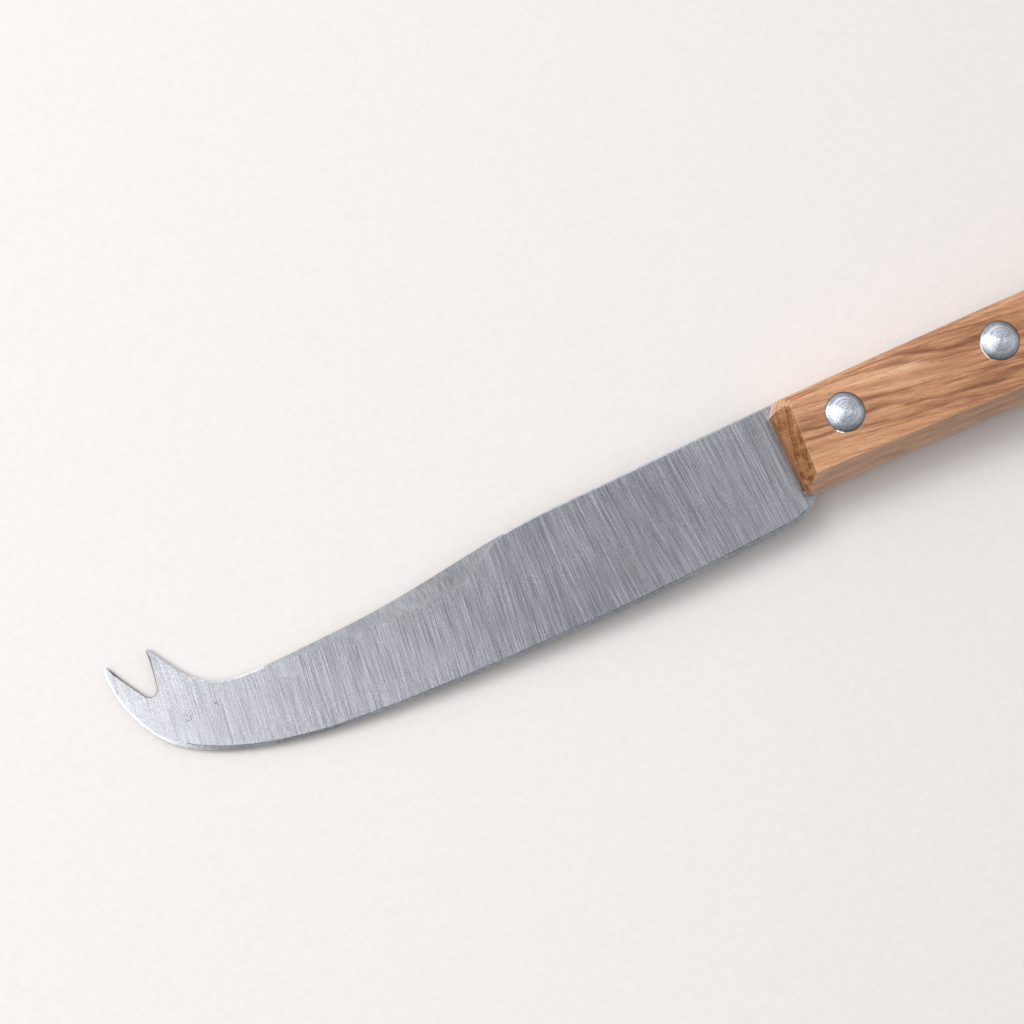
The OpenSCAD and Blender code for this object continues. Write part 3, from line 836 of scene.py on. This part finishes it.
def main_lines(n):
    """From the heel to the hook: evenly along the spine, leaning forwards to meet the edge."""
    t = np.linspace(0, 1, n, endpoint=False)
    table = np.linspace(0, 3, 3001)
    table_x = on_chain(SPINE_CURVE, table)[:, 0]
    start = on_chain(EDGE_CURVE, np.zeros(1))[0, 0]
    x = start + (table_x[-1] - start) * t
    spine = on_chain(SPINE_CURVE, np.interp(-x, -table_x, table))
    return spine, on_chain(EDGE_CURVE, 2 * t + LEAD_SHARE * np.sin(np.pi * t) * t), 1 + 0 * t


def fork_lines(t):
    """Round the hook: t runs from 0 at its start to 1 at the points."""
    keen = 1 - ease((t - KEEN_END) / KEEN_FADE)
    return on_chain(SPINE_CURVE, 3 + t), on_chain(EDGE_CURVE, 2 + 2 * t), keen


# %% Notch of the fork
def outside_notch(place):
    """Distance from the notch: from its round bottom, or past that from its straight walls."""
    q = place - NOTCH_MID
    turn = np.degrees(np.arctan2(q[..., 1], q[..., 0]))
    normals = np.radians([LOWER_WALL_A + 90, UPPER_WALL_A - 90])
    walls = np.max([q[..., 0] * np.cos(a) + q[..., 1] * np.sin(a) for a in normals], axis=0)
    below = (turn > LOWER_WALL_A - 270) & (turn < UPPER_WALL_A - 90)
    return np.where(below, np.hypot(q[..., 0], q[..., 1]), walls) - NOTCH_R


def across_notch(t, away=0, steps=4001):
    """For each fork line, the shares of it between which it is within a distance of the notch."""
    spine, edge, _ = fork_lines(t)
    share = np.linspace(0, 1, steps)
    free = outside_notch(spine[:, None] + (edge - spine)[:, None] * share[None, :, None])
    least = free.argmin(axis=1)
    into = np.array([np.interp(-away, -row[:k + 1], share[:k + 1]) for row, k in zip(free, least)])
    out = np.array([np.interp(away, row[k:], share[k:]) for row, k in zip(free, least)])
    return into, out, free.min(axis=1)


# %% Thickness of the blade
def nose(line, width):
    """How far a point of the fork grows into the notch to round its tip.

    It is a root of the way from the tip, which dies away with that way.
    """
    s = np.linalg.norm(line - line[-1], axis=1)
    return np.hypot(width, NOSE_W * np.sqrt(s) * np.exp(-s / NOSE_L)) - width


def ground_half(p):
    """Half thickness of the ground side: falls evenly to the edge and the tip, and up the hook."""
    low_y = np.minimum(p[..., 1], HOOK_Y)
    hook_top = on_chain(SPINE_CURVE, np.array([4.0]))[0, 1]
    side = HALF_STOCK - SPINE_CUT - (EDGE_CUT - SPINE_CUT) / BLADE_W * (SPINE_UP - low_y)
    side = side + TAPER_CUT / BLADE_L * p[..., 0]
    return side - HOOK_CUT / (hook_top - HOOK_Y) * np.maximum(0, p[..., 1] - HOOK_Y)


def facet_width(x):
    """Width of the spine facet: widest at the dip, and a mere break by the handle and the hook."""
    share = -x / BLADE_L
    narrows, gone = FACET_NARROWS
    start, full = FACET_START
    wide = np.clip((gone - share) / (gone - narrows), 0, 1) * ease((share - start) / (full - start))
    return BREAK_W + (FACET_W - BREAK_W) * wide


# %% Sheets of the blade
# Columns of a sheet up to its fold, where it turns to the other side of the blade
FOLD = 9
# Most of a sheet that one ground strip may take
STRIP_MOST = 0.6
# Rows between the place where the painted shade line by the notch starts and the notch itself
SHADE_LINE_ROWS = 8

def steel_sheet(spine, edge, sharp, first, last, shade_line, to_first, to_last):
    """Closed tube of rings: places along each line, at plus and minus the half thickness.

    first and last are the distances from the spine at which the sheet begins and
    ends, and shade_line is the width of the strip by the notch that is painted with
    shade. to_first and to_last count the places before and after the last crease.
    """
    length = np.linalg.norm(edge - spine, axis=1)
    way = (edge - spine) / length[:, None]
    facet = facet_width(spine[:, 0])
    cut = BREAK_CUT + (FACET_CUT - BREAK_CUT) * (facet - BREAK_W) / (FACET_W - BREAK_W)
    corner = ground_half(spine) - cut
    climb = (ground_half(spine + way * facet[:, None]) - corner) / facet
    square = ground_half(edge) - BREAK_CUT
    land = square + (LAND_T / 2 - square) * sharp
    shallow = BREAK_CUT / BREAK_W
    slope = shallow + (np.tan(np.radians(BEVEL_A)) - shallow) * sharp
    bevel = (ground_half(edge) - land) / slope
    for _ in range(4):
        bevel = (ground_half(edge - way * bevel[:, None]) - land) / slope
    span = last - first
    begin = first + np.minimum(facet, STRIP_MOST * span) * to_first
    end = last - np.minimum(bevel, STRIP_MOST * span) * to_last
    inner = begin[:, None] + (end - begin)[:, None] * np.linspace(0, 1, FOLD)
    if to_first:
        inner[:, -2] = np.maximum(inner[:, -3], end - shade_line)
    else:
        inner[:, 1] = np.minimum(inner[:, 2], begin + shade_line)
        inner[:, -2] = np.maximum(inner[:, -3], end - SHADE_LINE_W)
    distance = np.concatenate(
        [first[:, None]] * to_first + [inner] + [last[:, None]] * to_last, axis=1)
    p = spine[:, None] + way[:, None] * distance[..., None]
    half = np.min([
        ground_half(p), corner[:, None] + climb[:, None] * distance,
        land[:, None] + slope[:, None] * (length[:, None] - distance)], axis=0)[..., None]
    return np.concatenate([
        np.concatenate([p, half], axis=2), np.concatenate([p, -half], axis=2)[:, ::-1]], axis=1)


# %% Faces of the blade
def ring_faces(rings, start, open_pair, closed_from, strips, strip_finish):
    """Faces of a closed tube of rings with two end caps, open along a pair of columns at first.

    The tube is closed from a row on. With the faces go the numbers of their
    finishes: 1, dark with painted shade, for the walls of the notch and for the
    thin shade lines beside them, which start a few rows before, others for the
    ground strips and 0 for the rest.
    """
    index = start + np.arange(rings.shape[0] * rings.shape[1]).reshape(rings.shape[:2])
    quads = np.array(grid_faces(index)).reshape(len(index) - 1, -1, 4)
    kept = np.ones(quads.shape[:2], bool)
    kept[:closed_from, open_pair] = False
    finish = np.zeros(quads.shape[:2], int)
    finish[:, strips] = strip_finish
    finish[:, open_pair] = 1
    beside = [open_pair - 1, (open_pair + 1) % rings.shape[1]]
    finish[closed_from - SHADE_LINE_ROWS:, beside] = 1
    caps = [index[0].tolist(), index[-1].tolist()]
    return quads[kept].tolist() + caps, finish[kept].tolist() + [0, 0]


# %% Rings of the blade
# Lines of the heel, of the long edge, of the hook up to its painted shade line and of each point
HEEL_LINES = 24
MAIN_LINES = 220
HOOK_LINES = 60
POINT_LINES = 119
# Least width of a painted shade line
SHADE_LINE_LEAST = 0.01
# How far the lower point stops short, as a share of the hook
SHORT = 0.001

table = np.linspace(0.2, 1, 1601)
least = across_notch(table, steps=801)[2]
shade_line_from, split = np.interp((-SHADE_LINE_W, 0), -least, table)
edge_table = on_chain(EDGE_CURVE, 2 + 2 * table)
lower_end = np.interp(0, -outside_notch(edge_table), table)
spread = np.sin(np.linspace(0, np.pi / 2, POINT_LINES + 1)[1:]) ** 2
upper_t = split + (1 - split) * spread
lower_t = split + (lower_end - split - SHORT) * spread
touch = across_notch(np.array([split]))[0][0]
root_t = np.concatenate([
    shade_line_from * np.linspace(0, 1, HOOK_LINES), np.linspace(shade_line_from, split, SHADE_LINE_ROWS + 1)[1:]])
print("the fork opens at", round(split, 3), "of the hook")
print("its lower point ends at", round(lower_end, 3))

parts = [heel_lines(HEEL_LINES), main_lines(MAIN_LINES), fork_lines(root_t)]
spine, edge, sharp = (np.concatenate([part[k] for part in parts]) for k in range(3))
length = np.linalg.norm(edge - spine, axis=1)
upper_lines = fork_lines(upper_t)
lower_lines = fork_lines(lower_t)
upper_length, lower_length = (
    np.linalg.norm(lines[1] - lines[0], axis=1) for lines in (upper_lines, lower_lines))
into = across_notch(upper_t)[0] * upper_length
out = across_notch(lower_t)[1] * lower_length
# Widths along the lines of the painted shade line by the notch
ahead = np.full(len(spine) - len(root_t), SHADE_LINE_LEAST)
root_shade_line = across_notch(root_t, SHADE_LINE_W)
root_into, root_out = (
    np.maximum(np.abs(share - touch) * length[-len(root_t):], SHADE_LINE_LEAST)
    * (root_shade_line[2] <= SHADE_LINE_W) + SHADE_LINE_LEAST
    for share in root_shade_line[:2])
upper_shade_line = into - across_notch(upper_t, SHADE_LINE_W)[0] * upper_length
lower_shade_line = across_notch(lower_t, SHADE_LINE_W)[1] * lower_length - out
upper_nose = nose(upper_lines[0], into)
lower_nose = nose(lower_lines[1], lower_length - out)
upper_rings = np.concatenate([
    steel_sheet(
        spine, edge, sharp, 0 * length, touch * length, np.concatenate([ahead, root_into]), 1, 0),
    steel_sheet(*upper_lines, 0 * into, into + upper_nose, upper_shade_line + upper_nose, 1, 0)])
lower_rings = np.concatenate([
    steel_sheet(
        spine, edge, sharp, touch * length, length, np.concatenate([ahead, root_out]), 0, 1),
    steel_sheet(*lower_lines, out - lower_nose, lower_length, lower_shade_line + lower_nose, 0, 1)])
print(len(spine), "rings of the blade,", len(upper_t), "of each point")

# %% Blade with its tang
# Least width of a facet and least sharpness of a bevel that show their own finish
FACET_SHOWS = 0.02
KEEN_SHOWS = 0.4
# Least angle of a crease between the ground faces
CREASE_A = 2.4
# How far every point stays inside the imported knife's box
INSIDE = 0.001

def corner_places(mesh):
    """Place in metres of each corner of each face."""
    corners = mesh_values(mesh.loops, "vertex_index", np.int32)
    return mesh_values(mesh.vertices, "co", np.float32, 3)[corners]


def map_along(piece, name):
    """Flat map of a piece: across it runs along X and up it along Y, one unit to a metre."""
    layer = piece.data.uv_layers.new(name=name)
    layer.data.foreach_set("uv", corner_places(piece.data)[:, :2].ravel())


tang_points, tang_faces = bored_plate(
    np.array([-HALF_STOCK, HALF_STOCK]), np.array([SHANK_R, SHANK_R]) + RIVET_GAP,
    np.array([HALF_STOCK, -HALF_STOCK]))
upper_points, lower_points = upper_rings.reshape(-1, 3), lower_rings.reshape(-1, 3)
first_lower = len(upper_points)
first_tang = first_lower + len(lower_points)
spine_x = np.concatenate([spine, upper_lines[0]])[:-1, :1]
facet_finish = np.where(facet_width(spine_x) > BREAK_W + FACET_SHOWS, 2, 3)
upper_faces, upper_finish = ring_faces(
    upper_rings, 0, FOLD, len(spine) - 1, [0, 2 * FOLD], facet_finish)
# Finish 4 is a thin line of painted shade where the keen bevel starts
keen = np.concatenate([sharp, lower_lines[2]])[:-1, None] > KEEN_SHOWS
lower_faces, lower_finish = ring_faces(
    lower_rings, first_lower, 2 * FOLD + 1, len(spine) - 1,
    [FOLD - 1, FOLD + 1, FOLD - 2, FOLD + 2], np.where(keen, [3, 3, 4, 4], [3, 3, 0, 0]))
low, high = (np.array(corner) / MM - FRONT for corner in cad_box)
blade = add_mesh(
    "forked_blade",
    np.clip(np.concatenate([upper_points, lower_points, tang_points]), low + INSIDE, high - INSIDE),
    upper_faces + lower_faces + [[i + first_tang for i in face] for face in tang_faces],
    upper_finish + lower_finish + [0] * len(tang_faces))
map_along(blade, "along_blade")
blade.data.set_sharp_from_angle(angle=math.radians(CREASE_A))
dress(blade, [steel, sawn_steel_painted_shade] + strip_finishes, "steel", "blade")

# %% [markdown]
# ## Rivets
# A rivet is a round bar with a low dome on each end. A bar and two caps of a sphere
# could be joined, but their joints would show at the rim. So it is one profile
# turned about an axis, from the top of the dome over the rim, into the seat, down
# the shank and out the same way below. The cupped tool leaves a faint
# dimple in the middle of each dome and rolls the rim over a little.

# %% Rivets
RIM_R = 0.18
DIMPLE = 0.03
DIMPLE_R = 0.3
RIM_A = 40
TURN_STEPS = 96
DOME_STEPS = 30
RIM_STEPS = 5

def rivet_profile():
    """Half of the profile: a cap of a sphere with a dimple, a rolled rim, seat and shank."""
    dome_r = (HEAD_R ** 2 + DOME_H ** 2) / (2 * DOME_H)
    r = (HEAD_R - RIM_R / 2) * np.linspace(0, 1, DOME_STEPS) ** 0.8
    z = HANDLE_HALF + DOME_H - dome_r + np.sqrt(dome_r ** 2 - r ** 2)
    z = z - DIMPLE * np.exp(-(r / DIMPLE_R) ** 2)
    rim = np.linspace(0, 1, RIM_STEPS + 1)[1:]
    rim_r = r[-1] + RIM_R / 2 * np.sin(rim * np.pi / 2)
    rim_z = z[-1] - RIM_R * (1 - np.cos(rim * np.pi / 2))
    return (
        np.concatenate([r, rim_r, [HEAD_R, SHANK_R, SHANK_R]]),
        np.concatenate([z, rim_z, [SEAT_Z, SEAT_Z, 0]]))


def rivet_shape(x):
    """Profile turned about its axis: r cos(a), r sin(a), z, with a point at each end of it."""
    r, z = rivet_profile()
    r = np.concatenate([r, r[-2::-1]])
    z = np.concatenate([z, -z[-2::-1]])
    a = np.arange(TURN_STEPS) * 2 * np.pi / TURN_STEPS
    body = np.stack([
        x + r[1:-1, None] * np.cos(a), r[1:-1, None] * np.sin(a),
        z[1:-1, None] + 0 * a], axis=2).reshape(-1, 3)
    index = np.arange(len(body)).reshape(-1, TURN_STEPS)
    top, low = len(body), len(body) + 1
    faces = grid_faces(index)
    faces += [[top, int(i), int(j)] for i, j in zip(index[0], np.roll(index[0], -1))]
    faces += [[low, int(i), int(j)] for i, j in zip(index[-1], np.roll(index[-1], -1))]
    return np.concatenate([body, [(x, 0, z[0]), (x, 0, z[-1])]]), faces


def map_round(piece, x):
    """Map of a rivet: across it the distance from the axis in mm, up it the share of the turn."""
    mesh = piece.data
    layer = mesh.uv_layers.new(name="from_axis")
    flat = corner_places(mesh)[:, :2] / MM - (FRONT[:2] + (x, 0))
    distance = np.hypot(flat[:, 0], flat[:, 1])
    share = np.arctan2(flat[:, 1], flat[:, 0]) / (2 * np.pi) % 1
    starts = mesh_values(mesh.polygons, "loop_start", np.int32)
    owner = np.searchsorted(starts, np.arange(len(share)), side="right") - 1
    largest = np.maximum.reduceat(share, starts)[owner]
    share = np.where(largest - share > 0.5, share + 1, share)
    layer.data.foreach_set("uv", np.stack([distance, share], axis=1).ravel())


for node, x in zip(("rivet_front", "rivet_middle", "rivet_rear"), RIVET_X):
    rivet = add_mesh("domed_" + node, *rivet_shape(x))
    map_round(rivet, x)
    rivet.data.set_sharp_from_angle(angle=math.radians(RIM_A))
    dress(rivet, [aluminium], "rivet", node)

# %% [markdown]
# ## Lifted fibres
# Where the cupped tool pressed the heads home, it bruised the wood and a few pale
# fibres stand up at the rim: a crumb by the front rivet and a longer splinter by
# the middle one. They could be painted on the wood, but they'd cast no shadow. So
# each is a small spindle bent round the rim.

# %% Lifted fibres
FIBRE_STEPS = 33
FIBRE_SIDES = 12

def lifted_fibre(x, turn, reach, width, height):
    """Spindle round a rivet: its section is an ellipse that swells as the sine along an arc.

    A ripple of a quarter roughens it. turn is the first and last angle in degrees,
    reach the first and last distance from the axis.
    """
    s = np.linspace(0, 1, FIBRE_STEPS)[:, None]
    c = np.arange(FIBRE_SIDES)[None] * 2 * np.pi / FIBRE_SIDES
    a = np.radians(turn[0] + (turn[1] - turn[0]) * s)
    swell = np.sin(np.pi * s) ** 0.8 * (1 + 0.25 * np.sin(9 * s))
    r = reach[0] + (reach[1] - reach[0]) * s ** 2 + width / 2 * swell * np.cos(c)
    z = HANDLE_HALF + height * swell * (0.4 + 0.6 * np.sin(c)) + 0 * r
    index = np.arange(s.size * c.size).reshape(s.size, c.size)
    points = np.stack([x + r * np.cos(a), r * np.sin(a), z], axis=2).reshape(-1, 3)
    return points, grid_faces(index)


for name, x, turn, reach, width, height in (
        ("crumb_front", RIVET_X[0], (216, 244), (3.92, 3.97), 0.42, 0.34),
        ("splinter_middle", RIVET_X[1], (158, 219), (3.82, 4.15), 0.36, 0.3)):
    fibre = add_mesh(name, *lifted_fibre(x, turn, reach, width, height))
    dress(fibre, [torn_wood], "wood")
